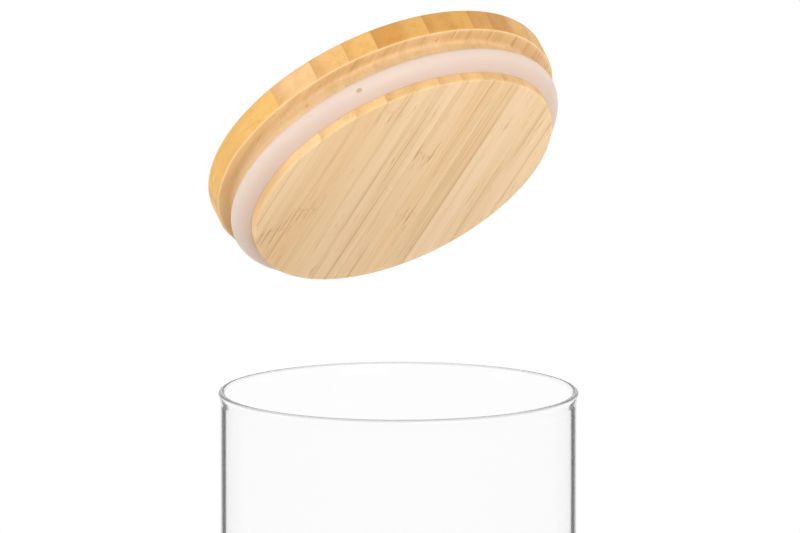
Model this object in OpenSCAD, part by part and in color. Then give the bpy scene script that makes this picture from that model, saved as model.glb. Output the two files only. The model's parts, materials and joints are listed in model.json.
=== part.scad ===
// Storage jar: a straight glass jar with a flared, fire-polished rim, and a
// turned bamboo lid with a silicone seal. The lid is held off the jar, swung up
// and away, so that its underside and its seal show.
// Millimetres, +Z up. The origin is the middle of the flat base.

/* [Jar] */
// Height of the jar, from the flat base to the top of the rim
jar_h = 150; // [70:1:260]
// Outer diameter of the straight glass wall
jar_d = 98.9; // [70:0.1:160]
// Thickness of the glass wall
wall_t = 1.4; // [1:0.1:3]
// Thickness of the glass base
base_t = 3; // [2:0.1:6]
// Outer radius of the heel, where the wall turns into the base
heel_r = 6; // [4:0.5:12]

/* [Rim] */
// Thickness of the rounded rim
rim_t = 1.7; // [1:0.1:2.2]
// How far the rim stands out past the wall
rim_flare = 0.55; // [0:0.05:1.2]
// Depth below the rim at which the wall starts to flare out
flare_h = 3.2; // [2.6:0.1:6]
// Height of the lip above the flare
lip_h = 1.2; // [1.1:0.1:2.2]

/* [Lid] */
// How far the lid's flange stands out past the rim
flange_overhang = 1; // [0:0.1:4]
// Thickness of the flange
flange_t = 7.1; // [4:0.1:14]
// Radius of the flange's rounded edges
flange_round = 1; // [0.2:0.1:1.8]
// Gap all round between the plug and the glass wall
plug_gap = 2; // [1.9:0.05:4]
// Radius of the hollow between the plug's side and the flange
cove_r = 1.5; // [0.3:0.1:1.8]
// Height of the plug above the seal
plug_h = 5.2; // [4:0.1:10]
// Thickness of the disc under the seal
disc_t = 2.65; // [1.8:0.05:6]
// How far the disc's side lies inside the plug's
disc_inset = 1; // [0:0.1:1.5]
// Radius of the disc's rounded lower edge
disc_round = 0.7; // [0.2:0.1:1.4]
// Gap between the flange and the rim when the lid is on
seat_gap = 0.3; // [0.3:0.05:1]

/* [Seal] */
// Height of the seal and of its groove
seal_h = 5.3; // [3:0.1:8]
// Depth of the seal's groove in the plug
groove_depth = 3; // [1.5:0.1:4.5]
// How far the free seal stands out past the glass wall's inside
seal_squeeze = 1.3; // [0:0.05:1.35]
// Depth of the seal's widest place below its upper edge
seal_brow = 1; // [0.5:0.1:2]
// How far the seal draws in from there to its upper edge
seal_lip = 0.55; // [0.2:0.05:1]
// How far the seal draws in from its widest place to its lower edge
seal_taper = 4.15; // [0.5:0.05:4.4]
// How late the seal draws in: 1 is a straight cone, more is a rounder side
seal_fullness = 2.2; // [1:0.1:4]

/* [Bamboo strips] */
// Number of glued strips, an odd number with one over the middle
strips = 15; // [9:2:19]
// Mean width of the two outermost strips, which hold only the flange's edge
edge_strip_w = 3.55; // [3:0.05:4]
// How far the board's joints lie off the middle, towards the last strip
strip_shift = 1.3; // [0:0.1:1.5]
// Heading of the strips when the lid is on, counted from +X
strip_heading = 118.8; // [0:0.1:180]

/* [Lid swung off] */
// How far the lid is swung up from its seat
lid_swing = 45.5; // [10:0.5:60]
// Distance of the swing axis from the jar's middle line, past the flange's edge
swing_reach = 38.2; // [30:0.1:80]
// Heading of the swing axis's nearest point, counted from +X
swing_side = 120.5; // [0:0.5:360]
// Height of that point above the rim
swing_lift = 9.2; // [6:0.1:12]
// Turn of the axis away from square to that heading
swing_skew = 0.5; // [-2:0.5:2]
// Rise of the axis out of the level
swing_rise = 7; // [4:0.5:9]

/* [Hidden] */
$fn = 120;

jar_r = jar_d / 2;
bore_r = jar_r - wall_t;
rim_r = jar_r + rim_flare;
flange_r = rim_r + flange_overhang;
plug_r = bore_r - plug_gap;
groove_r = plug_r - groove_depth;
disc_r = plug_r - disc_inset;
seal_r = bore_r + seal_squeeze;

// Heights of the lid, seated on the jar
flange_z = jar_h + seat_gap;
seal_top_z = flange_z - plug_h;
seal_low_z = seal_top_z - seal_h;
disc_z = seal_low_z - disc_t;

// The strips between the outermost two share what is left of the flange's width
strip_w = 2 * (flange_r - edge_strip_w) / (strips - 2);
STRIP_NODES = [for (i = [1:strips]) str("lid_strip_", i < 10 ? "0" : "", i)];

// Bamboo tones, light, middle and dark, and which one each strip has
BAMBOO = ["#e8c693", "#dfb57c", "#d0a066"];
STRIP_TONES = [1, 0, 0, 1, 2, 1, 1, 0, 2, 2, 1, 0, 1, 0, 1];

swing_point = [
    (flange_r + swing_reach) * cos(swing_side),
    (flange_r + swing_reach) * sin(swing_side),
    jar_h + swing_lift
];
axis_heading = swing_side + 90 + swing_skew;
swing_axis = [
    cos(swing_rise) * cos(axis_heading),
    cos(swing_rise) * sin(axis_heading),
    sin(swing_rise)
];

// Half outline of a round bar, from the middle line out, with rounded outer corners
module turned_half(r, low, high, round_low, round_high) {
    translate([0, low + round_low]) square([r, high - low - round_low - round_high]);
    translate([0, low]) square([r - round_low, round_low]);
    translate([r - round_low, low + round_low]) circle(round_low);
    if (round_high > 0) {
        translate([0, high - round_high]) square([r - round_high, round_high]);
        translate([r - round_high, high - round_high]) circle(round_high);
    }
}

// Half outline of the glass: the straight wall, the flare, then the lip with its rounded rim
module glass_half() {
    bead_r = rim_t / 2;
    difference() {
        union() {
            turned_half(jar_r, 0, jar_h - flare_h, heel_r, 0);
            polygon([
                [0, jar_h - flare_h - wall_t],
                [jar_r, jar_h - flare_h - wall_t],
                [jar_r, jar_h - flare_h],
                [rim_r, jar_h - lip_h],
                [rim_r, jar_h - bead_r],
                [0, jar_h - bead_r]
            ]);
            translate([rim_r - bead_r, jar_h - bead_r]) circle(bead_r);
        }
        turned_half(bore_r, base_t, jar_h - flare_h, heel_r - wall_t, 0);
        polygon([
            [0, jar_h - flare_h - wall_t],
            [bore_r, jar_h - flare_h - wall_t],
            [bore_r, jar_h - flare_h],
            [rim_r - rim_t, jar_h - lip_h],
            [rim_r - rim_t, jar_h - bead_r],
            [0, jar_h - bead_r]
        ]);
    }
}

// Half outline of the lid board as it comes off the lathe, with the seal's groove
module board_half() {
    turned_half(flange_r, flange_z, flange_z + flange_t, flange_round, flange_round);
    translate([0, seal_top_z]) square([plug_r, plug_h + flange_round]);
    difference() {
        translate([0, flange_z - cove_r]) square([plug_r + cove_r, cove_r + flange_round]);
        translate([plug_r + cove_r, flange_z - cove_r]) circle(cove_r);
    }
    translate([0, disc_z + disc_round]) square([groove_r, seal_h + disc_t]);
    turned_half(disc_r, disc_z, seal_low_z, disc_round, 0);
}

// Half outline of the seal: widest just under its upper edge, then drawn in along a curve
module seal_half() {
    steps = 8;
    side_h = seal_h - seal_brow;
    brow = [for (a = [0:30:60]) [
        seal_r - seal_lip * (1 - sin(a)),
        seal_top_z - seal_brow * (1 - cos(a))
    ]];
    side = [for (i = [0:steps]) let (t = i / steps) [
        seal_r - seal_taper * pow(t, seal_fullness),
        seal_top_z - seal_brow - side_h * t
    ]];
    polygon(concat([[groove_r, seal_low_z], [groove_r, seal_top_z]], brow, side));
}

// Carries a piece of the lid from its seat to where the lid is held
module held_off() {
    translate(swing_point)
        rotate(a = lid_swing, v = swing_axis)
            translate(-swing_point)
                children();
}

module jar_glass() {
    color([0.86, 0.93, 0.94, 0.45]) rotate_extrude() glass_half();
}

module seal_ring() {
    color("#ead8cb") held_off() rotate_extrude() seal_half();
}

// One glued strip of the board, counted from 1 at one edge
module lid_strip(i) {
    place = (i - (strips + 1) / 2) * strip_w + strip_shift;
    tone = STRIP_TONES[(i - 1) % len(STRIP_TONES)];
    color(BAMBOO[tone]) held_off() intersection() {
        rotate_extrude() board_half();
        rotate(strip_heading - 90)
            translate([place - strip_w / 2, -jar_d, disc_z - 1])
                cube([strip_w, 2 * jar_d, flange_z + flange_t - disc_z + 2]);
    }
}

jar_glass();
seal_ring();
for (i = [1:strips]) lid_strip(i);
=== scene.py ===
# %% [markdown]
# # A storage jar with a bamboo lid
# The object is a straight glass jar with a flared, fire-polished rim. Its lid is
# turned from a board of glued bamboo strips, and a milky silicone seal sits in a
# groove of the lid. The lid is held off the jar, tilted, so that its underside shows.
#
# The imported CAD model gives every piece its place. It could be drawn again here,
# but loading it as a fixed frame keeps each new piece in the very same place.

import json
from math import cos, pi, radians, sin

import bmesh
import bpy
from mathutils import Matrix, Vector


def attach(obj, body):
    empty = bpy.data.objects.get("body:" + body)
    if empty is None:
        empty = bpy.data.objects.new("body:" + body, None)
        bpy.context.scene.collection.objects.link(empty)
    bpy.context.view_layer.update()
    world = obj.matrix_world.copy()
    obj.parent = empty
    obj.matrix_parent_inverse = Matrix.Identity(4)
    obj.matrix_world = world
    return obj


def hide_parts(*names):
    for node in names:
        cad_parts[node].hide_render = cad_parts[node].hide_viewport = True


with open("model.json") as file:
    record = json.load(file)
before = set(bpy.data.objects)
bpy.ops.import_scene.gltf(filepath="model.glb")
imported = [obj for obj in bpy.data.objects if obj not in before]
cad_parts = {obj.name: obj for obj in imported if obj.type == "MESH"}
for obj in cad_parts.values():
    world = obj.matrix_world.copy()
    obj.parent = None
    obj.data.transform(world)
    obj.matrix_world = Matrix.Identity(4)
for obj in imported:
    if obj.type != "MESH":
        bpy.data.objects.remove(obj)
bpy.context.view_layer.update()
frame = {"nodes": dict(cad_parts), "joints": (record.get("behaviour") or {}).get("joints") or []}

# %% [markdown]
# ## The camera
# The photograph is nearly without perspective: the jar's walls stay parallel, and
# the mouth is a plain ellipse, 360 pixels wide and 56 high. The ellipse's shape gives
# the camera's height angle, because its sine is 56 divided by 360. A long lens from
# far away gives the same flat look, and the lens follows from 3.6 pixels a millimetre.

# %% Camera
CAMERA_RISE = radians(8.95)
CAMERA_DISTANCE = 4.0
PIXELS_PER_METRE = 3600
PICTURE_WIDTH = 800
SENSOR_WIDTH = 36
AIM = Vector((0.00042, 0.00536, 0.18402))

camera_data = bpy.data.cameras.new("camera")
camera_data.sensor_width = SENSOR_WIDTH
camera_data.lens = SENSOR_WIDTH * CAMERA_DISTANCE * PIXELS_PER_METRE / PICTURE_WIDTH
camera_data.clip_start = 0.1
camera_data.clip_end = 60
camera = bpy.data.objects.new("camera", camera_data)
camera.location = AIM + CAMERA_DISTANCE * Vector((0, -cos(CAMERA_RISE), sin(CAMERA_RISE)))
camera.rotation_euler = (pi / 2 - CAMERA_RISE, 0, 0)
bpy.context.scene.collection.objects.link(camera)
bpy.context.scene.camera = camera
print("lens", round(camera_data.lens), "mm")

# %% [markdown]
# ## Small helpers for materials
# Every finish here is a node tree. Written out by hand, each node takes four or five
# lines. One helper makes a node, sets its options and joins its sockets, and another
# turns a colour as a paint program names it, from 0 to 255, into the linear light
# that Blender reckons with. The rest stand for the few steps that every finish takes
# again: a ramp, a stretched noise, a mix of two colours, and a bit of arithmetic.

# %% Nodes and colours
def add_node(tree, kind, sockets, **options):
    """Makes a node. A socket is linked, where its value is another's output, or set."""
    made = tree.nodes.new(kind)
    for option, value in options.items():
        setattr(made, option, value)
    for socket, value in sockets.items():
        if isinstance(value, bpy.types.NodeSocket):
            tree.links.new(value, made.inputs[socket])
        else:
            made.inputs[socket].default_value = value
    return made


def new_finish(name):
    """A material with an empty node tree and its output node."""
    finish = bpy.data.materials.new(name)
    finish.use_nodes = True
    finish.node_tree.nodes.clear()
    return finish, finish.node_tree, add_node(finish.node_tree, "ShaderNodeOutputMaterial", {})


def paint(red, green, blue):
    """A colour from 0 to 255 as linear light, with full opacity."""
    shares = [value / 255 for value in (red, green, blue)]
    return tuple(s / 12.92 if s <= 0.04045 else ((s + 0.055) / 1.055) ** 2.4 for s in shares) + (1,)


def grey(value):
    """The same linear value in red, green and blue."""
    return (value, value, value, 1)


print("middle grey is", round(paint(128, 128, 128)[0], 3), "as linear light")

# %% Ramps, mixes and arithmetic
def ramp(tree, factor, stops):
    """A colour ramp with a stop at each place given."""
    made = add_node(tree, "ShaderNodeValToRGB", {"Fac": factor})
    points = made.color_ramp.elements
    for place, _ in stops[1:-1]:
        points.new(place)
    for point, (place, colour) in zip(points, stops):
        point.position = place
        point.color = colour
    return made.outputs["Color"]


def blend_colours(tree, factor, first, second, kind="MIX"):
    """One colour mixed into, or multiplied onto, another."""
    made = add_node(tree, "ShaderNodeMix", {}, data_type="RGBA", blend_type=kind)
    for socket, value in ((0, factor), (6, first), (7, second)):
        if isinstance(value, bpy.types.NodeSocket):
            tree.links.new(value, made.inputs[socket])
        else:
            made.inputs[socket].default_value = value
    return made.outputs[2]


def between(tree, value, low, high, out_low=0.0, out_high=1.0, smooth=True):
    """Stretches a value's range from low to high over another range."""
    return add_node(
        tree,
        "ShaderNodeMapRange",
        {"Value": value, "From Min": low, "From Max": high, "To Min": out_low, "To Max": out_high},
        interpolation_type="SMOOTHSTEP" if smooth else "LINEAR",
    ).outputs["Result"]


def math_node(tree, kind, first, second=0.0):
    """One sum, product or other step of arithmetic."""
    return add_node(tree, "ShaderNodeMath", {0: first, 1: second}, operation=kind).outputs[0]


def vector_math(tree, kind, *vectors):
    """One step of arithmetic with places or directions."""
    outputs = add_node(
        tree, "ShaderNodeVectorMath", dict(enumerate(vectors)), operation=kind
    ).outputs
    return outputs["Value" if kind in ("LENGTH", "DOT_PRODUCT") else "Vector"]


def parts_of(tree, vector):
    """The three parts of a place or a direction."""
    return add_node(tree, "ShaderNodeSeparateXYZ", {0: vector}).outputs


def stretched_noise(tree, place, shift, sizes, detail):
    """Noise whose blobs have these sizes, in metres: along, across and through the strip."""
    scaled = add_node(
        tree,
        "ShaderNodeMapping",
        {"Vector": place, "Scale": [1 / size for size in sizes], "Location": (shift, 3 * shift, 0)},
    )
    return add_node(
        tree, "ShaderNodeTexNoise", {"Vector": scaled.outputs[0], "Scale": 1.0, "Detail": detail}
    ).outputs["Fac"]


print("helpers for ramps, mixes, arithmetic and noise are ready")

# %% [markdown]
# ## The studio
# The photograph is a bright catalogue picture: white all round, soft light from every
# side and a little more from the left. A ring of lamps could do that, but a pale world
# lights just as softly with less noise. Two lamps at the left then give the lid's turned
# edges their lighter side, and one low in front reaches the lid's underside. What is
# seen behind the object is pure white, and so is what the glass and the lid's sheen
# mirror: Light Path tells those rays from the ones that only bring light.
#
# Light runs round and round in the jar's thick rim before it leaves. Blender gives up on
# a ray after a few bounces and takes it as black, and the rim's ends turned black, so
# many more bounces are allowed here. Only the few rays that need them take them.

# %% World
ROOM_LIGHT = 0.9
BACKDROP_WHITE = 1.0

world = bpy.data.worlds.new("studio")
bpy.context.scene.world = world
world.use_nodes = True
world.node_tree.nodes.clear()
world_tree = world.node_tree


def seen_or_mirrored(tree):
    """1 for a ray from the camera, through glass or off a sheen, 0 for one that brings light."""
    ray = add_node(tree, "ShaderNodeLightPath", {}).outputs
    seen = math_node(tree, "MAXIMUM", ray["Is Camera Ray"], ray["Is Transmission Ray"])
    return math_node(tree, "MAXIMUM", seen, ray["Is Glossy Ray"])


strength = add_node(
    world_tree,
    "ShaderNodeMix",
    {"Factor": seen_or_mirrored(world_tree), "A": ROOM_LIGHT, "B": BACKDROP_WHITE},
)
room = add_node(
    world_tree, "ShaderNodeBackground", {"Color": grey(1), "Strength": strength.outputs["Result"]}
)
add_node(world_tree, "ShaderNodeOutputWorld", {"Surface": room.outputs[0]})
print("room light", ROOM_LIGHT)

# %% Longer light paths
RIM_BOUNCES = 100

paths = bpy.context.scene.cycles
paths.max_bounces = RIM_BOUNCES
paths.glossy_bounces = RIM_BOUNCES
paths.transmission_bounces = RIM_BOUNCES
print("a ray may bounce", RIM_BOUNCES, "times")

# %% Lamps
LID_MIDDLE = Vector((0, 0, 0.22))
LAMPS = (
    # name, place, width in metres, power in watts
    ("lamp_upper_left", (-1.3, -1.0, 1.0), 0.7, 1.5),
    ("lamp_low_front", (0.7, -1.6, 0.05), 0.9, 12.0),
    ("lamp_left", (-1.7, -0.3, 0.1), 0.7, 4.5),
)
for name, place, width, power in LAMPS:
    light = bpy.data.lights.new(name, "AREA")
    light.size = width
    light.energy = power
    lamp = bpy.data.objects.new(name, light)
    lamp.location = place
    lamp.rotation_euler = (LID_MIDDLE - Vector(place)).to_track_quat("-Z", "Y").to_euler()
    lamp.visible_camera = False
    lamp.visible_transmission = False
    bpy.context.scene.collection.objects.link(lamp)
    print(name, power, "W")

# %% [markdown]
# ## The floor
# The jar's foot is outside the picture, but from other sides the jar stands on a pale
# floor and throws a soft shadow. A plain disc is enough. Its colour fades to the white
# of the backdrop away from the jar, so no edge of it shows, and only near the jar is it
# a real surface that takes the shadow. It lies a hair below the jar's foot: where glass
# and floor share one plane, light can't get out between them and the foot turns dark.

# %% Floor finish
SHADOW_R = 0.20
FADED_R = 0.50
FLOOR_GREY = grey(0.9)

floor_finish, floor_tree, floor_out = new_finish("pale_floor")
floor_place = add_node(floor_tree, "ShaderNodeTexCoord", {}).outputs["Object"]
floor_radius = vector_math(floor_tree, "LENGTH", floor_place)
faded = between(floor_tree, floor_radius, SHADOW_R, FADED_R)
fade = math_node(floor_tree, "MULTIPLY", faded, seen_or_mirrored(floor_tree))
paper = add_node(floor_tree, "ShaderNodeBsdfDiffuse", {"Color": FLOOR_GREY})
glow = add_node(
    floor_tree, "ShaderNodeEmission", {"Color": grey(1), "Strength": BACKDROP_WHITE}
)
floor_mix = add_node(
    floor_tree, "ShaderNodeMixShader", {"Fac": fade, 1: paper.outputs[0], 2: glow.outputs[0]}
)
floor_tree.links.new(floor_mix.outputs[0], floor_out.inputs["Surface"])
print("the floor fades from", SHADOW_R, "to", FADED_R, "m")

# %% Floor
FLOOR_R = 0.9
FLOOR_GAP = 0.0003
FLOOR_CORNERS = 96

floor_mesh = bpy.data.meshes.new("floor")
bm = bmesh.new()
bmesh.ops.create_circle(bm, cap_ends=True, segments=FLOOR_CORNERS, radius=FLOOR_R)
bmesh.ops.translate(bm, vec=(0, 0, -FLOOR_GAP), verts=bm.verts[:])
bm.to_mesh(floor_mesh)
bm.free()
floor_mesh.materials.append(floor_finish)
floor = bpy.data.objects.new("floor", floor_mesh)
bpy.context.scene.collection.objects.link(floor)
print("floor", FLOOR_R, "m in radius")

# %% [markdown]
# ## A helper for round pieces
# The glass and the seal are both round. A round piece could be cut from a cylinder, but
# a half outline spun about the middle line is how a turner thinks of it, and it gives
# even, closed faces. The outline is a short chain of corners. A vertex bevel rounds each
# corner by its own radius before the chain is spun.

# %% Spin a half outline
CORNER_STEPS = 10
MERGE = 4e-6
SEAM_MERGE = 1e-6
LONG_EDGE = 0.1


def spin_outline(corners, closed, steps, cuts=0):
    """Spins corners, each (radius, height, rounding) in metres, into a closed shell."""
    bm = bmesh.new()
    chain = [bm.verts.new((r, 0, z)) for r, z, _ in corners]
    ends = chain[1:] + chain[:1] if closed else chain[1:]
    for pair in zip(chain, ends):
        bm.edges.new(pair)
    for corner, (_, _, rounding) in zip(chain, corners):
        if rounding:
            bmesh.ops.bevel(
                bm,
                geom=[corner],
                affect="VERTICES",
                offset=rounding,
                segments=CORNER_STEPS,
                profile=0.5,
                material=-1,
            )
    bmesh.ops.remove_doubles(bm, verts=bm.verts[:], dist=MERGE)
    if cuts:
        long_edges = [e for e in bm.edges if e.calc_length() > LONG_EDGE]
        bmesh.ops.subdivide_edges(bm, edges=long_edges, cuts=cuts)
    bmesh.ops.spin(
        bm,
        geom=bm.verts[:] + bm.edges[:],
        cent=(0, 0, 0),
        axis=(0, 0, 1),
        angle=2 * pi,
        steps=steps,
        use_merge=True,
    )
    bmesh.ops.remove_doubles(bm, verts=bm.verts[:], dist=SEAM_MERGE)
    bmesh.ops.recalc_face_normals(bm, faces=bm.faces[:])
    return bm


print("corners closer than", MERGE * 1e6, "micrometres become one")

# %% From bmesh to object
def finished_piece(name, bm, finish):
    """Turns the bmesh into a smooth object at the origin, with its material."""
    for face in bm.faces:
        face.smooth = True
    open_edges = sum(not edge.is_manifold for edge in bm.edges)
    print(name, len(bm.faces), "faces,", open_edges, "open edges")
    mesh = bpy.data.meshes.new(name)
    bm.to_mesh(mesh)
    bm.free()
    mesh.materials.append(finish)
    piece = bpy.data.objects.new(name, mesh)
    bpy.context.scene.collection.objects.link(piece)
    return piece


# %% [markdown]
# ## Two dark cards
# Clear glass on white shows only where it mirrors something dark. In a white room its
# edges would melt away, so a glass photographer stands a narrow dark card on each side of
# the backdrop. The wall mirrors a card just inside its edge, where it turns the view by
# 17 to 29 degrees. The cards are low, so that the round rim mirrors the white above them.
# They show in mirror reflections only, so they take no light away and never stand in the
# picture.

# %% Side cards
CARD_R = 0.30
CARD_FOOT = 0.001
CARD_TOP = 0.115
CARD_FROM = radians(26.6)
CARD_TO = radians(37.9)
CARD_STEPS = 6
CARD_GREY = grey(0.03)

card_finish, card_tree, card_out = new_finish("dark_card")
card_paint = add_node(card_tree, "ShaderNodeBsdfDiffuse", {"Color": CARD_GREY})
card_tree.links.new(card_paint.outputs[0], card_out.inputs["Surface"])
for side, towards in (("left", 1), ("right", -1)):
    bm = bmesh.new()
    foot = bm.verts.new((0, CARD_R, CARD_FOOT))
    head = bm.verts.new((0, CARD_R, CARD_TOP))
    upright = bm.edges.new((foot, head))
    first_turn = Matrix.Rotation(towards * CARD_FROM, 3, "Z")
    bmesh.ops.rotate(bm, cent=(0, 0, 0), matrix=first_turn, verts=[foot, head])
    bmesh.ops.spin(
        bm,
        geom=[foot, head, upright],
        cent=(0, 0, 0),
        axis=(0, 0, towards),
        angle=CARD_TO - CARD_FROM,
        steps=CARD_STEPS,
    )
    card = finished_piece(f"card_{side}", bm, card_finish)
    card.visible_camera = False
    card.visible_diffuse = False
    card.visible_transmission = False
    card.visible_shadow = False
    card.visible_volume_scatter = False
print("cards", round((CARD_TO - CARD_FROM) * CARD_R * 1000), "mm wide")

# %% [markdown]
# ## Clear glass
# Clean glass on white shows almost nothing but its edges. Where the eye looks along the
# wall, the light has passed through much more glass, and the edge is a dark grey line.
# The room here is pale all round, and plain glass would come out too light. So the edge's dark grey
# is painted shade in the glass's colour, which follows Layer Weight: clear where the wall faces the
# eye, and grey in the last thin band before the edge. The fire-polished rim has painted shade of
# its own, so that its round bead is a thin grey line all along. Faint long ripples move the
# reflections a little, and the melted rim is a little less sharp than the wall.

# %% Painted shade of the glass
# Each tone has its place on Layer Weight, from 0 where the surface faces the eye to 1
CLEAR = grey(0.985)
# Painted shade: these greys stand in for the dark edge line of the wall
WALL_EDGE_SHADE = (
    (0.0, grey(0.985)),
    (0.50, grey(0.96)),
    (0.64, grey(0.86)),
    (0.726, grey(0.73)),
    (0.746, grey(0.38)),
    (0.764, grey(0.26)),
    (0.789, grey(0.04)),
    (0.817, grey(0.16)),
    (0.850, grey(0.06)),
    (0.894, grey(0.03)),
    (0.965, grey(0.03)),
    (1.0, grey(0.4)),
)
# Painted shade of the rim's bead, darker on its outer side
RIM_OUTER_SHADE = (
    (0.0, grey(0.985)),
    (0.06, grey(0.88)),
    (0.30, grey(0.80)),
    (0.55, grey(0.42)),
    (0.70, grey(0.42)),
    (0.80, grey(0.95)),
    (1.0, grey(0.985)),
)
RIM_INNER_SHADE = (
    (0.0, grey(0.985)),
    (0.06, grey(0.92)),
    (0.30, grey(0.90)),
    (1.0, grey(0.985)),
)
print("tones of the wall", len(WALL_EDGE_SHADE), "and of the rim", len(RIM_OUTER_SHADE))

# %% Where the glass's painted shade lies
JAR_R = 0.04945
BORE_R = 0.04805
FLARE_Z = 0.1468
LIP_Z = 0.1488
WALL_MIDDLE_R = (JAR_R + BORE_R) / 2
WALL_LEAN = (0.0, 0.3)
FLARE_ZONE = (FLARE_Z - 0.0004, FLARE_Z + 0.0006)
FLARE_CLEARING = 0.2
BEAD_LEAN = (-0.1, 0.1)
BEAD_UPPER_SIDE = (0.2, 0.6)
LIP_ZONE = (LIP_Z - 0.0004, LIP_Z + 0.0002)


def painted_glass_shade(tree, place, facing):
    """Painted shade: grey towards the wall's edge on its outside and on the rim's upper side, else
    clear.
    """
    level = vector_math(tree, "MULTIPLY", place, (1, 1, 0))
    distance = vector_math(tree, "LENGTH", level)
    outwards = vector_math(tree, "NORMALIZE", level)
    way = add_node(tree, "ShaderNodeTexCoord", {}).outputs["Normal"]
    lean = vector_math(tree, "DOT_PRODUCT", way, outwards)
    height = parts_of(tree, place)["Z"]

    past_middle = between(tree, distance, WALL_MIDDLE_R, WALL_MIDDLE_R + 1e-5)
    outer_side = math_node(tree, "MULTIPLY", past_middle, between(tree, lean, *WALL_LEAN))
    wall = blend_colours(tree, outer_side, CLEAR, ramp(tree, facing, WALL_EDGE_SHADE))
    in_flare = between(tree, height, *FLARE_ZONE, 0.0, FLARE_CLEARING)
    wall = blend_colours(tree, in_flare, wall, CLEAR)

    bead_inner_shade = ramp(tree, facing, RIM_INNER_SHADE)
    bead_outer_shade = ramp(tree, facing, RIM_OUTER_SHADE)
    bead = blend_colours(tree, between(tree, lean, *BEAD_LEAN), bead_inner_shade, bead_outer_shade)
    looks_up = between(tree, parts_of(tree, way)["Z"], *BEAD_UPPER_SIDE)
    bead = blend_colours(tree, looks_up, CLEAR, bead)
    in_lip = between(tree, height, *LIP_ZONE)
    return blend_colours(tree, in_lip, wall, bead)


print("the wall is", round((JAR_R - BORE_R) * 1000, 2), "mm thick")

# %% Ripples in the glass
RIPPLE_SCALE = (60, 60, 4)
RIPPLE_STRENGTH = 0.05
RIPPLE_DEPTH = 0.0005

jar_finish, glass_tree, glass_out = new_finish("clear_glass")
glass_place = add_node(glass_tree, "ShaderNodeTexCoord", {}).outputs["Object"]
drawn_along = add_node(
    glass_tree, "ShaderNodeMapping", {"Vector": glass_place, "Scale": RIPPLE_SCALE}
).outputs[0]
ripples = add_node(
    glass_tree, "ShaderNodeTexNoise", {"Vector": drawn_along, "Scale": 1.0, "Detail": 2.0}
).outputs["Fac"]
ripple_bump = add_node(
    glass_tree,
    "ShaderNodeBump",
    {"Height": ripples, "Strength": RIPPLE_STRENGTH, "Distance": RIPPLE_DEPTH},
).outputs["Normal"]
print("a ripple is about", round(1000 / RIPPLE_SCALE[2]), "mm long")

# %% Glass finish
GLASS_IOR = 1.47
HAZY_RIPPLES = (0.35, 0.75)
MOST_HAZE = 0.02
MELTED_ZONE = (LIP_Z, LIP_Z + 0.0004)
MELTED_BLUR = 0.2
LIGHT_LET_THROUGH = grey(0.97)

haze = between(glass_tree, ripples, *HAZY_RIPPLES, 0.0, MOST_HAZE, smooth=False)
glass_height = parts_of(glass_tree, glass_place)["Z"]
melted = between(glass_tree, glass_height, *MELTED_ZONE, 0.0, MELTED_BLUR)
facing = add_node(glass_tree, "ShaderNodeLayerWeight", {"Blend": 0.5}).outputs["Facing"]
glass = add_node(
    glass_tree,
    "ShaderNodeBsdfPrincipled",
    {
        "Base Color": painted_glass_shade(glass_tree, glass_place, facing),
        "Roughness": math_node(glass_tree, "ADD", haze, melted),
        "IOR": GLASS_IOR,
        "Transmission Weight": 1.0,
        "Normal": ripple_bump,
    },
)
to_lamp = add_node(glass_tree, "ShaderNodeLightPath", {}).outputs["Is Shadow Ray"]
faint_shade = add_node(glass_tree, "ShaderNodeBsdfTransparent", {"Color": LIGHT_LET_THROUGH})
glass_mix = add_node(
    glass_tree,
    "ShaderNodeMixShader",
    {"Fac": to_lamp, 1: glass.outputs[0], 2: faint_shade.outputs[0]},
)
glass_tree.links.new(glass_mix.outputs[0], glass_out.inputs["Surface"])
print("glass nodes", len(glass_tree.nodes))

# %% [markdown]
# ## The glass jar
# The real jar is a drawn tube. Its foot is closed over a flame, which leaves the round
# heel, and its mouth is opened a little and melted smooth, which leaves the small bead.
# The same outline as in the CAD is spun here with 256 steps in place of 120, because
# glass shows every facet twice, once in its reflection and once through itself.

# %% Glass jar
JAR_H = 0.150
BASE_T = 0.003
HEEL_R = 0.006
RIM_R = 0.050
RIM_T = 0.0017
BEAD_R = RIM_T / 2
FLARE_ROUND = 0.0004
LIP_ROUND = 0.0003
GLASS_STEPS = 256
WALL_CUTS = 11

glass_outline = [
    (0, 0, 0),
    (JAR_R, 0, HEEL_R),
    (JAR_R, FLARE_Z, FLARE_ROUND),
    (RIM_R, LIP_Z, LIP_ROUND),
    (RIM_R, JAR_H, BEAD_R),
    (RIM_R - RIM_T, JAR_H, BEAD_R),
    (RIM_R - RIM_T, LIP_Z, LIP_ROUND),
    (BORE_R, FLARE_Z, FLARE_ROUND),
    (BORE_R, BASE_T, HEEL_R - (JAR_R - BORE_R)),
    (0, BASE_T, 0),
]
glass_bm = spin_outline(glass_outline, closed=False, steps=GLASS_STEPS, cuts=WALL_CUTS)
glass_jar = finished_piece("glass_jar", glass_bm, jar_finish)
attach(glass_jar, "jar")
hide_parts("jar_glass")

# %% [markdown]
# ## Where the lid is held
# The lid's own pieces are easiest to think of while the lid lies level on the jar. The
# joint says how far it has been swung from there. One matrix carries a piece from its
# seat to where the lid is held. Its opposite brings a pattern back, so that grain can
# follow the strips, and a colour can follow the height on the seated lid.

# %% The lid's seat and its swing
ACROSS_HEADING = radians(28.8)

swing = frame["joints"][0]
swing_point = Vector(swing["pos_m"])
swing_turn = Matrix.Rotation(-radians(swing["range_deg"][0]), 4, Vector(swing["axis"]))
held_off = Matrix.Translation(swing_point) @ swing_turn @ Matrix.Translation(-swing_point)
strip_frame = Matrix.Rotation(pi / 2 - ACROSS_HEADING, 4, "Z") @ held_off.inverted()


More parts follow.
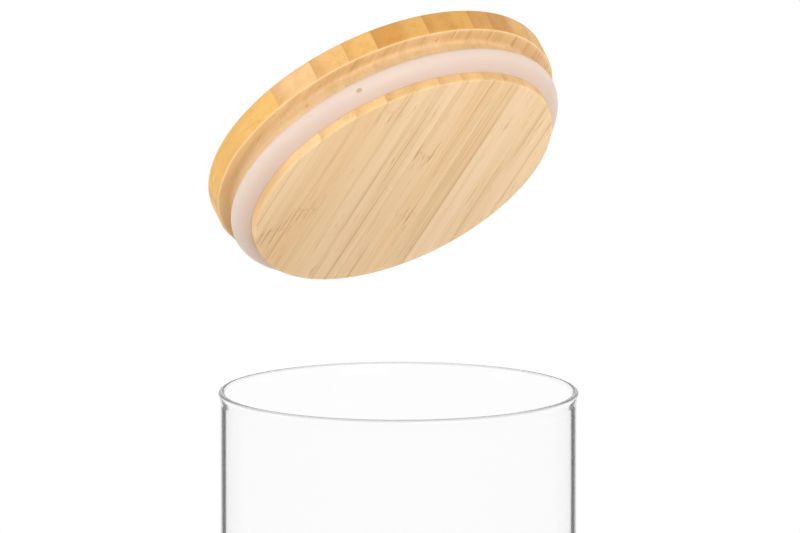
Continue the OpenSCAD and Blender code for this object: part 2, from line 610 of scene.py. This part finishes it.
def in_strip_frame(tree, coordinate, kind="POINT"):
    """A place or direction along the strips (X), across them (Y) and up the seated lid (Z)."""
    sockets = {"Vector": coordinate, "Rotation": strip_frame.to_euler("XYZ")}
    if kind == "POINT":
        sockets["Location"] = strip_frame.to_translation()
    return add_node(tree, "ShaderNodeMapping", sockets, vector_type=kind).outputs[0]


print("lid swung", -swing["range_deg"][0], "degrees off its seat")

# %% [markdown]
# ## Milky silicone
# The seal is soft, cloudy silicone, nearly white with a touch of pink. Towards its lower edge,
# where it lies against the wood, it is painted a little darker, as painted shade in that corner. A
# plain pale colour would look like hard plastic, so some light goes under its surface. Faint clouds
# and a fine satin grain break it up, and a tan speck marks where the mould was filled.

# %% Silicone colours
SEAL_TOP_Z = 0.1451
SEAL_LOW_Z = 0.1398
CLOUD_COLOURS = (
    (0.3, paint(223, 205, 188)),
    (0.5, paint(226, 205, 190)),
    (0.7, paint(224, 202, 190)),
)
CLOUD_SCALE = 90.0
# Painted shade along the seal's lower edge, where it meets the wood
LOW_EDGE_SHADE = paint(217, 190, 173)
LOW_EDGE_SHADE_ZONE = (SEAL_LOW_Z, SEAL_TOP_Z - 0.002)
LOW_EDGE_SHADE_SHARE = 0.8

silicone_finish, silicone_tree, silicone_out = new_finish("milky_silicone")
silicone_corner = add_node(silicone_tree, "ShaderNodeTexCoord", {}).outputs["Object"]
silicone_place = in_strip_frame(silicone_tree, silicone_corner)
clouds = add_node(
    silicone_tree,
    "ShaderNodeTexNoise",
    {"Vector": silicone_place, "Scale": CLOUD_SCALE, "Detail": 3.0},
).outputs["Fac"]
milky = ramp(silicone_tree, clouds, CLOUD_COLOURS)
seal_height = parts_of(silicone_tree, silicone_place)["Z"]
low_edge_shade = between(silicone_tree, seal_height, *LOW_EDGE_SHADE_ZONE, LOW_EDGE_SHADE_SHARE, 0.0)
milky = blend_colours(silicone_tree, low_edge_shade, milky, LOW_EDGE_SHADE)
print("the seal is", round((SEAL_TOP_Z - SEAL_LOW_Z) * 1000, 2), "mm high")

# %% The tan speck
SPECK_PLACE = (0.0379, -0.0313, 0.1423)
SPECK_SIZE = (0.0011, 0.0011, 0.0007)
SPECK_EDGE = (0.6, 1.1)
SPECK_SHARE = 0.75
SPECK_COLOUR = paint(190, 146, 82)

from_speck = add_node(
    silicone_tree,
    "ShaderNodeMapping",
    {"Vector": silicone_place, "Location": SPECK_PLACE, "Scale": SPECK_SIZE},
    vector_type="TEXTURE",
).outputs[0]
speck_radius = vector_math(silicone_tree, "LENGTH", from_speck)
in_speck = between(silicone_tree, speck_radius, *SPECK_EDGE, SPECK_SHARE, 0.0)
milky = blend_colours(silicone_tree, in_speck, milky, SPECK_COLOUR)
print("the speck is", SPECK_SIZE[0] * 2000, "mm wide")

# %% Silicone finish
LIGHT_UNDER_SURFACE = 0.35
LIGHT_REACH = 0.002
SATIN_SCALE = 1800.0
SATIN_STRENGTH = 0.12
SATIN_DEPTH = 0.0001
SATIN_ROUGHNESS = (0.42, 0.54)

satin = add_node(
    silicone_tree,
    "ShaderNodeTexNoise",
    {"Vector": silicone_place, "Scale": SATIN_SCALE, "Detail": 2.0},
).outputs["Fac"]
satin_bump = add_node(
    silicone_tree,
    "ShaderNodeBump",
    {"Height": satin, "Strength": SATIN_STRENGTH, "Distance": SATIN_DEPTH},
).outputs["Normal"]
silicone = add_node(
    silicone_tree,
    "ShaderNodeBsdfPrincipled",
    {
        "Base Color": milky,
        "Roughness": between(silicone_tree, clouds, 0.3, 0.7, *SATIN_ROUGHNESS),
        "Subsurface Weight": LIGHT_UNDER_SURFACE,
        "Subsurface Radius": (1.0, 0.6, 0.45),
        "Subsurface Scale": LIGHT_REACH,
        "Normal": satin_bump,
    },
)
silicone_tree.links.new(silicone.outputs[0], silicone_out.inputs["Surface"])
print("silicone nodes", len(silicone_tree.nodes))

# %% [markdown]
# ## The seal
# The seal is a ring. It is widest just under its upper edge and draws in, slowly and then
# fast, towards its lower edge. It could be bent from a bar, but it is as round as the
# jar, so it is spun too. It is made level, in its groove on the seated lid, and then
# carried to where the lid is held.

# %% The seal's outline
GROOVE_R = 0.04305
SEAL_R = 0.04935
SEAL_BROW = 0.0010
SEAL_LIP = 0.00055
SEAL_TAPER = 0.00415
SEAL_FULLNESS = 2.2
BROW_TURNS = (0, 25, 50)
BROW_ROUND = 0.00025
SIDE_STEPS = 12
LOW_EDGE_ROUND = 0.0002

seal_outline = [(GROOVE_R, SEAL_LOW_Z, 0), (GROOVE_R, SEAL_TOP_Z, 0)]
for turn in BROW_TURNS:
    r = SEAL_R - SEAL_LIP * (1 - sin(radians(turn)))
    z = SEAL_TOP_Z - SEAL_BROW * (1 - cos(radians(turn)))
    seal_outline.append((r, z, BROW_ROUND if turn == 0 else 0))
for step in range(SIDE_STEPS + 1):
    share = step / SIDE_STEPS
    r = SEAL_R - SEAL_TAPER * share**SEAL_FULLNESS
    z = SEAL_TOP_Z - SEAL_BROW + (SEAL_LOW_Z - SEAL_TOP_Z + SEAL_BROW) * share
    seal_outline.append((r, z, LOW_EDGE_ROUND if step == SIDE_STEPS else 0))
print("the seal's outline has", len(seal_outline), "corners")

# %% Seal ring
SEAL_SPIN_STEPS = 192

seal_bm = spin_outline(seal_outline, closed=True, steps=SEAL_SPIN_STEPS)
bmesh.ops.transform(seal_bm, matrix=held_off, verts=seal_bm.verts[:])
silicone_seal = finished_piece("silicone_seal", seal_bm, silicone_finish)
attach(silicone_seal, "lid")
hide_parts("seal_ring")

# %% [markdown]
# ## Bamboo: where its colours lie
# A bamboo strip is a bundle of fibres. On the turned sides the fibres end as pores, and the cut
# wood drinks more oil, so it is a stronger yellow-brown than the flat faces. A photograph could be
# laid on, but then the streaks would not meet at the edges. So the grain is a solid pattern in
# space, and the base colour under it depends on where the wood lies on the lid: on the broad face,
# on the disc's side, on the plug, on the flange's underside or on its side. The flange's underside
# is painted darker than the face, as painted shade under the flange, and the plug's side is painted
# lighter low down and darker just under the flange, as painted light and shade. Just after a glued
# joint a strip's side is a little darker.

# %% Colours of the board
STRIP_W = 0.0073
STRIP_SHIFT = 0.0013
MIDDLE_STRIP = 8
FACE_Z = 0.13715
FLANGE_Z = 0.1503
TOP_Z = 0.1574

FACE = paint(240, 203, 156)
# Painted shade: the flange's underside is darker than the face, as shade under the flange
UNDER_FLANGE_SHADE = paint(229, 191, 139)
DISC_SIDE = paint(247, 213, 158)
# Painted light and shade: the plug's side is lighter low down and darker just under the flange
PLUG_LIT_LOW = paint(252, 230, 182)
PLUG_SHADE_UNDER_FLANGE = paint(240, 204, 152)
FLAT_COLOURS = (
    (FACE_Z, FACE),
    (0.146, FACE),
    (0.149, UNDER_FLANGE_SHADE),
    (0.152, UNDER_FLANGE_SHADE),
    (0.154, FACE),
    (TOP_Z, FACE),
)
PLUG_LIGHT_AND_SHADE = ((0.1455, PLUG_LIT_LOW), (0.1485, PLUG_SHADE_UNDER_FLANGE), (0.1500, PLUG_SHADE_UNDER_FLANGE))
print("one strip is", STRIP_W * 1000, "mm wide")

# %% Place on the strip
LIES_FLAT = (0.55, 0.95)


def where_on_strip(tree):
    """The place in the strip's frame, its three parts, and 1 where the surface lies flat."""
    corner = add_node(tree, "ShaderNodeTexCoord", {}).outputs
    place = in_strip_frame(tree, corner["Object"])
    way = in_strip_frame(tree, corner["Normal"], "VECTOR")
    way_up = math_node(tree, "ABSOLUTE", parts_of(tree, way)["Z"])
    return place, parts_of(tree, place), between(tree, way_up, *LIES_FLAT)


def at_heights(tree, height, stops):
    """A colour for each height on the seated lid, from the face up to the top."""
    shares = [((z - FACE_Z) / (TOP_Z - FACE_Z), colour) for z, colour in stops]
    return ramp(tree, height, shares)


print("the board is", round((TOP_Z - FACE_Z) * 1000, 2), "mm high")

# %% Base colour by place
JOINT_DARK = paint(190, 134, 70)
JOINT_SHADE_W = 0.0035
JOINT_MORE_ON_DISC = 0.2
JOINT_BELOW_FLANGE = 0.1
JOINT_ON_SIDE = 0.42
EDGE_BLEND = 0.0005


def board_colour(tree, across, up, flat, number, side_colour, face_tint):
    """The wood's colour before its grain, for its flat faces and its turned sides, with painted
    light and shade on the plug's side and painted shade under the flange.
    """
    height = between(tree, up, FACE_Z, TOP_Z, smooth=False)
    flat_colour = at_heights(tree, height, FLAT_COLOURS)
    flat_colour = blend_colours(tree, 1.0, flat_colour, face_tint, "MULTIPLY")

    disc_colour = tuple((a + b) / 2 for a, b in zip(DISC_SIDE, side_colour))
    disc_stops = ((FACE_Z, disc_colour), (0.1400, disc_colour))
    side_stops = ((FLANGE_Z + 0.0001, side_colour), (TOP_Z, side_colour))
    turned_colour = at_heights(tree, height, disc_stops + PLUG_LIGHT_AND_SHADE + side_stops)

    strip_middle = (number - MIDDLE_STRIP) * STRIP_W + STRIP_SHIFT
    from_joint = math_node(tree, "SUBTRACT", across, strip_middle - STRIP_W / 2)
    near_joint = between(tree, from_joint, 0.0, JOINT_SHADE_W, 1.0, 0.0)
    on_disc = between(
        tree, up, SEAL_LOW_Z, SEAL_LOW_Z + EDGE_BLEND, JOINT_MORE_ON_DISC, 0.0
    )
    on_side = between(
        tree, up, FLANGE_Z - EDGE_BLEND, FLANGE_Z + EDGE_BLEND, JOINT_BELOW_FLANGE, JOINT_ON_SIDE
    )
    joint_depth = math_node(tree, "ADD", on_disc, on_side)
    joint_shade = math_node(tree, "MULTIPLY", near_joint, joint_depth)
    turned_colour = blend_colours(tree, joint_shade, turned_colour, JOINT_DARK)
    return blend_colours(tree, flat, turned_colour, flat_colour)


print("a joint shades", JOINT_SHADE_W * 1000, "mm of the strip after it")

# %% [markdown]
# ## Bamboo: its grain
# On the flat faces the fibres show as fine soft streaks along the strip: broad bands that
# are lighter or darker, pale threads, and groups of thin dark lines. They are noises, each
# stretched along the strip by its own measure and taken from its own place in the noise.
# A cane has a knuckle every hand's breadth. There the bundles are cut open into short
# dark dashes, and a faint brown line crosses the strip. One even wood noise could stand
# for all of this, but it would lack the knuckles.

# %% Bands and fibres
FIBRE_SIZE = (0.030, 0.0007, 0.0007)
FIBRE_SHARE = 0.3
BAND_SIZE = (0.10, 0.0034, 0.0034)
BAND_SHIFT = 2
BAND_SHARE = 0.7
BAND_SHADES = (
    (0.36, (0.93, 0.90, 0.85, 1)),
    (0.5, grey(1.0)),
    (0.64, (1.04, 1.06, 1.09, 1)),
)


def banded(tree, wood, fibres, bands):
    """Broad bands with fine fibres in them, lighter and darker, all over the strip."""
    fibre_part = math_node(tree, "MULTIPLY", fibres, FIBRE_SHARE)
    band_part = math_node(tree, "MULTIPLY", bands, BAND_SHARE)
    tone = math_node(tree, "ADD", fibre_part, band_part)
    return blend_colours(tree, 1.0, wood, ramp(tree, tone, BAND_SHADES), "MULTIPLY")


print("a band is about", BAND_SIZE[1] * 1000, "mm wide")

# %% Threads and lines
THREAD_SIZE = (0.080, 0.0010, 0.0010)
THREAD_SHIFT = 9
THREAD_RANGE = (0.60, 0.74)
THREAD_SHARE = 0.5
LIGHT_FIBRE = paint(246, 217, 178)
LINE_SIZE = (0.090, 0.0006, 0.0006)
LINE_SHIFT = 7
LINE_RANGE = (0.54, 0.70)
LINE_SHARE = 0.7
LINE_GROUP_RANGE = (0.40, 0.52)
LINES_OFF_GROUP = 0.1
LINE_DARK = paint(206, 160, 108)


def streaked(tree, wood, place, shift, flat, bands):
    """Pale threads and groups of thin dark lines, on the flat faces only."""
    threads = stretched_noise(tree, place, shift + THREAD_SHIFT, THREAD_SIZE, 1.0)
    thread = between(tree, threads, *THREAD_RANGE, 0.0, THREAD_SHARE)
    wood = blend_colours(tree, math_node(tree, "MULTIPLY", thread, flat), wood, LIGHT_FIBRE)

    lines = stretched_noise(tree, place, shift + LINE_SHIFT, LINE_SIZE, 1.0)
    in_group = between(tree, bands, *LINE_GROUP_RANGE, 1.0, LINES_OFF_GROUP)
    line = between(tree, lines, *LINE_RANGE, 0.0, LINE_SHARE)
    line = math_node(tree, "MULTIPLY", line, in_group)
    return blend_colours(tree, math_node(tree, "MULTIPLY", line, flat), wood, LINE_DARK)


print("a thread is about", THREAD_SIZE[1] * 1000, "mm wide")

# %% Knuckles
BUNDLE_SIZE = (0.009, 0.0006, 0.0006)
BUNDLE_SHIFT = 5
BUNDLE_DARK = paint(196, 146, 98)
KNUCKLE_REACH = (0.001, 0.012)
KNUCKLE_WOBBLE = 0.012
MORE_DASHES = 0.17
DASH_RANGE = (0.66, 0.84)
DASH_SHARE = 0.65
CROSS_LINE_EDGE = (0.0002, 0.0009)
CROSS_LINE_SHARE = 0.22


def knuckle_marks(tree, place, along, shift, bands, knuckle, scars):
    """The dashes, thick about the knuckle and few elsewhere, and the line across it."""
    bundles = stretched_noise(tree, place, shift + BUNDLE_SHIFT, BUNDLE_SIZE, 1.0)
    off_band = math_node(tree, "SUBTRACT", bands, 0.5)
    wobble = math_node(tree, "MULTIPLY", off_band, KNUCKLE_WOBBLE)
    wavy_along = math_node(tree, "ADD", along, wobble)
    off_knuckle = math_node(tree, "ABSOLUTE", math_node(tree, "SUBTRACT", wavy_along, knuckle))
    near_knuckle = between(tree, off_knuckle, *KNUCKLE_REACH, scars, 0.0)
    more_dashes = math_node(tree, "MULTIPLY", near_knuckle, MORE_DASHES)
    dash_level = math_node(tree, "ADD", bundles, more_dashes)
    dash = between(tree, dash_level, *DASH_RANGE, 0.0, DASH_SHARE)
    cross_line = between(tree, off_knuckle, *CROSS_LINE_EDGE, CROSS_LINE_SHARE * scars, 0.0)
    return dash, cross_line


print("a knuckle marks", KNUCKLE_REACH[1] * 2000, "mm of its strip")

# %% [markdown]
# ## Bamboo: the finish
# The lid is sanded and oiled, so it has a soft sheen, a little duller in the hollows between the
# fibres. The fibres stand up by less than a hair and the dashes lie in. Such a small relief could
# be cut into the mesh only with millions of faces, so a bump shows it. The flange's rounded edges
# are painted paler, as a painted highlight where they catch the light.

# %% Painted edge highlight
# A painted highlight on the flange's rounded edges
EDGE_HIGHLIGHT = paint(252, 212, 156)
EDGE_HIGHLIGHT_STRENGTH = 3.0
EDGE_HIGHLIGHT_FROM_Z = FLANGE_Z - 0.0002


def painted_edge_highlight(tree, wood, up, flat):
    """Painted highlight: the flange's rounded edges, between flat and turned, in a paler tone."""
    on_flange = between(tree, up, EDGE_HIGHLIGHT_FROM_Z, FLANGE_Z)
    bend = math_node(tree, "MULTIPLY", flat, math_node(tree, "SUBTRACT", 1.0, flat))
    highlight = math_node(tree, "MULTIPLY", bend, EDGE_HIGHLIGHT_STRENGTH)
    highlight = math_node(tree, "MULTIPLY", highlight, on_flange)
    return blend_colours(tree, highlight, wood, EDGE_HIGHLIGHT)


print("worn edges from", round(EDGE_HIGHLIGHT_FROM_Z * 1000, 1), "mm up")

# %% Bamboo finish
SHIFT_PER_STRIP = 7.3
OIL_IOR = 1.45
OILED_ROUGHNESS = (0.62, 0.50)
GRAIN_STRENGTH = 0.25
GRAIN_DEPTH = 0.0001
DASH_DEPTH = 0.8


def bamboo_strip(name, number, side_colour, face_tint, knuckle, scars):
    """The finish of one strip. Scars says how strong the marks about its knuckle are."""
    finish, tree, out = new_finish(name)
    place, (along, across, up), flat = where_on_strip(tree)
    shift = SHIFT_PER_STRIP * number
    fibres = stretched_noise(tree, place, shift, FIBRE_SIZE, 2.0)
    bands = stretched_noise(tree, place, shift + BAND_SHIFT, BAND_SIZE, 2.0)

    wood = board_colour(tree, across, up, flat, number, side_colour, face_tint)
    wood = banded(tree, wood, fibres, bands)
    wood = streaked(tree, wood, place, shift, flat, bands)
    dash, cross_line = knuckle_marks(tree, place, along, shift, bands, knuckle, scars)
    wood = blend_colours(tree, dash, wood, BUNDLE_DARK)
    wood = blend_colours(tree, cross_line, wood, BUNDLE_DARK)
    wood = painted_edge_highlight(tree, wood, up, flat)

    dash_hollow = math_node(tree, "MULTIPLY", dash, DASH_DEPTH)
    relief_height = math_node(tree, "SUBTRACT", fibres, dash_hollow)
    relief = add_node(
        tree,
        "ShaderNodeBump",
        {"Height": relief_height, "Strength": GRAIN_STRENGTH, "Distance": GRAIN_DEPTH},
    ).outputs["Normal"]
    shader = add_node(
        tree,
        "ShaderNodeBsdfPrincipled",
        {
            "Base Color": wood,
            "Roughness": between(tree, fibres, 0.3, 0.7, *OILED_ROUGHNESS),
            "Normal": relief,
            "IOR": OIL_IOR,
        },
    )
    tree.links.new(shader.outputs[0], out.inputs["Surface"])
    return finish


print("grain stands up by", GRAIN_DEPTH * 1000, "mm at most")

# %% [markdown]
# ## Fifteen strips
# Each strip comes from another cane, so each has its own tone, its own streaks and its
# own knuckle. The CAD solids already have the right shape, with every edge that the
# lathe leaves, so they stay, and each gets its own finish. Strip 1 lies at the left of
# the picture and strip 15 at the right.

# %% Dress the strips
STRIPS = (
    # number, colour of the flange's side, tint of the flat faces, place of the knuckle, its scars
    (1, (232, 181, 96), (1.00, 1.00, 1.00), 0.012, 0.3),
    (2, (239, 192, 131), (1.02, 1.03, 1.05), -0.030, 0.3),
    (3, (234, 184, 116), (0.97, 0.95, 0.93), -0.0186, 0.8),
    (4, (232, 180, 101), (0.97, 0.935, 0.88), -0.009, 1.0),
    (5, (212, 151, 70), (0.99, 0.99, 0.97), 0.034, 0.4),
    (6, (222, 169, 88), (1.00, 1.02, 1.05), -0.022, 0.3),
    (7, (211, 155, 74), (1.02, 1.04, 1.08), 0.030, 0.3),
    (8, (219, 164, 80), (0.99, 0.98, 0.98), 0.0122, 0.9),
    (9, (209, 153, 78), (0.99, 0.965, 0.91), -0.016, 0.5),
    (10, (201, 144, 72), (0.98, 0.98, 0.955), -0.034, 0.3),
    (11, (224, 172, 100), (1.02, 1.05, 1.12), 0.022, 0.4),
    (12, (226, 179, 110), (0.99, 1.01, 1.02), -0.008, 0.3),
    (13, (216, 178, 108), (1.02, 1.05, 1.11), 0.018, 0.4),
    (14, (210, 168, 104), (0.98, 0.99, 0.99), -0.012, 0.3),
    (15, (212, 172, 112), (1.00, 1.00, 0.99), 0.010, 0.3),
)
for number, side_colour, face_tint, knuckle, scars in STRIPS:
    node = f"lid_strip_{number:02d}"
    finish = bamboo_strip(
        f"bamboo_{number:02d}", number, paint(*side_colour), face_tint + (1,), knuckle, scars
    )
    for material_slot in frame["nodes"][node].material_slots:
        material_slot.material = finish
print("strips dressed", len(STRIPS))

# %% [markdown]
# ## Colour
# The Standard view shows a colour as it is written, which a catalogue picture needs.

# %% Finish
bpy.context.scene.view_settings.view_transform = "Standard"
